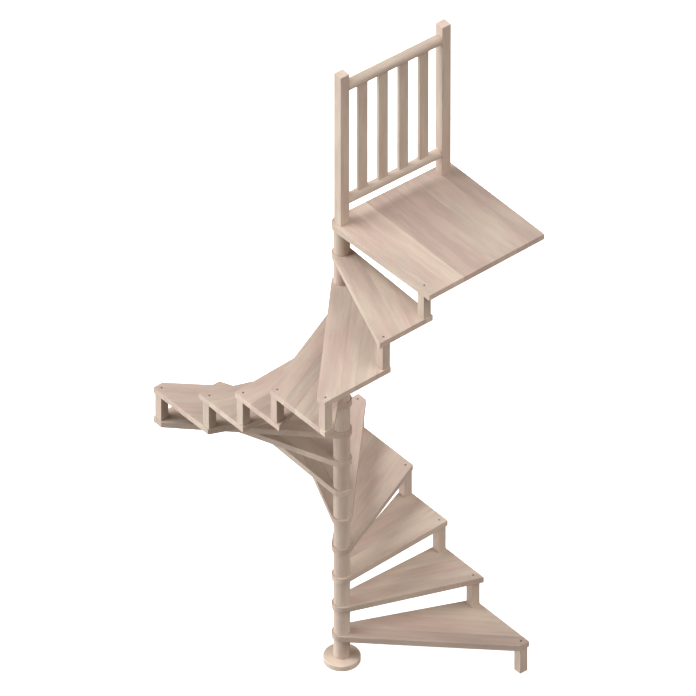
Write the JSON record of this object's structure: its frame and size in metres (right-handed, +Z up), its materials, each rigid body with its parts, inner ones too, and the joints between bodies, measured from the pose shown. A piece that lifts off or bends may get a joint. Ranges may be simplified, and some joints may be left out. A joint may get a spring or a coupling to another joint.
{
  "type": "spiral staircase",
  "caption": "Wooden spiral staircase on a square plan: winder treads around a turned column, square riser blocks at the outer edge, and a landing with a short guard.",
  "frame": {"origin": "middle of the column foot's underside, on the floor", "axes": "+Z up the column, +X along the landing's front edge away from the column, +Y along the landing's guard; the climb turns counterclockwise seen from above"},
  "size_m": [1.452, 1.447, 4],
  "materials": {
    "tread_wood": "unfinished glued beech board",
    "turned_wood": "unfinished turned beech",
    "square_wood": "unfinished planed beech",
    "screw_steel": "dull zinc-plated steel"
  },
  "bodies": {
    "root": {"column_foot": "turned_wood", "column_spacers": "turned_wood", "tread_01": "tread_wood", "tread_02": "tread_wood", "tread_03": "tread_wood", "tread_04": "tread_wood", "tread_05": "tread_wood", "tread_06": "tread_wood", "tread_07": "tread_wood", "tread_08": "tread_wood", "tread_09": "tread_wood", "tread_10": "tread_wood", "tread_11": "tread_wood", "tread_12": "tread_wood", "tread_13": "tread_wood", "tread_14": "tread_wood", "landing": "tread_wood", "riser_block_01": "square_wood", "riser_block_02": "square_wood", "riser_block_03": "square_wood", "riser_block_04": "square_wood", "riser_block_05": "square_wood", "riser_block_06": "square_wood", "riser_block_07": "square_wood", "riser_block_08": "square_wood", "riser_block_09": "square_wood", "riser_block_10": "square_wood", "riser_block_11": "square_wood", "riser_block_12": "square_wood", "riser_block_13": "square_wood", "riser_block_14": "square_wood", "riser_block_15": "square_wood", "screw_heads": "screw_steel", "inner_guard_post": "square_wood", "outer_guard_post": "square_wood", "top_rail": "square_wood", "bottom_rail": "square_wood", "balusters": "square_wood"}
  },
  "joints": []
}
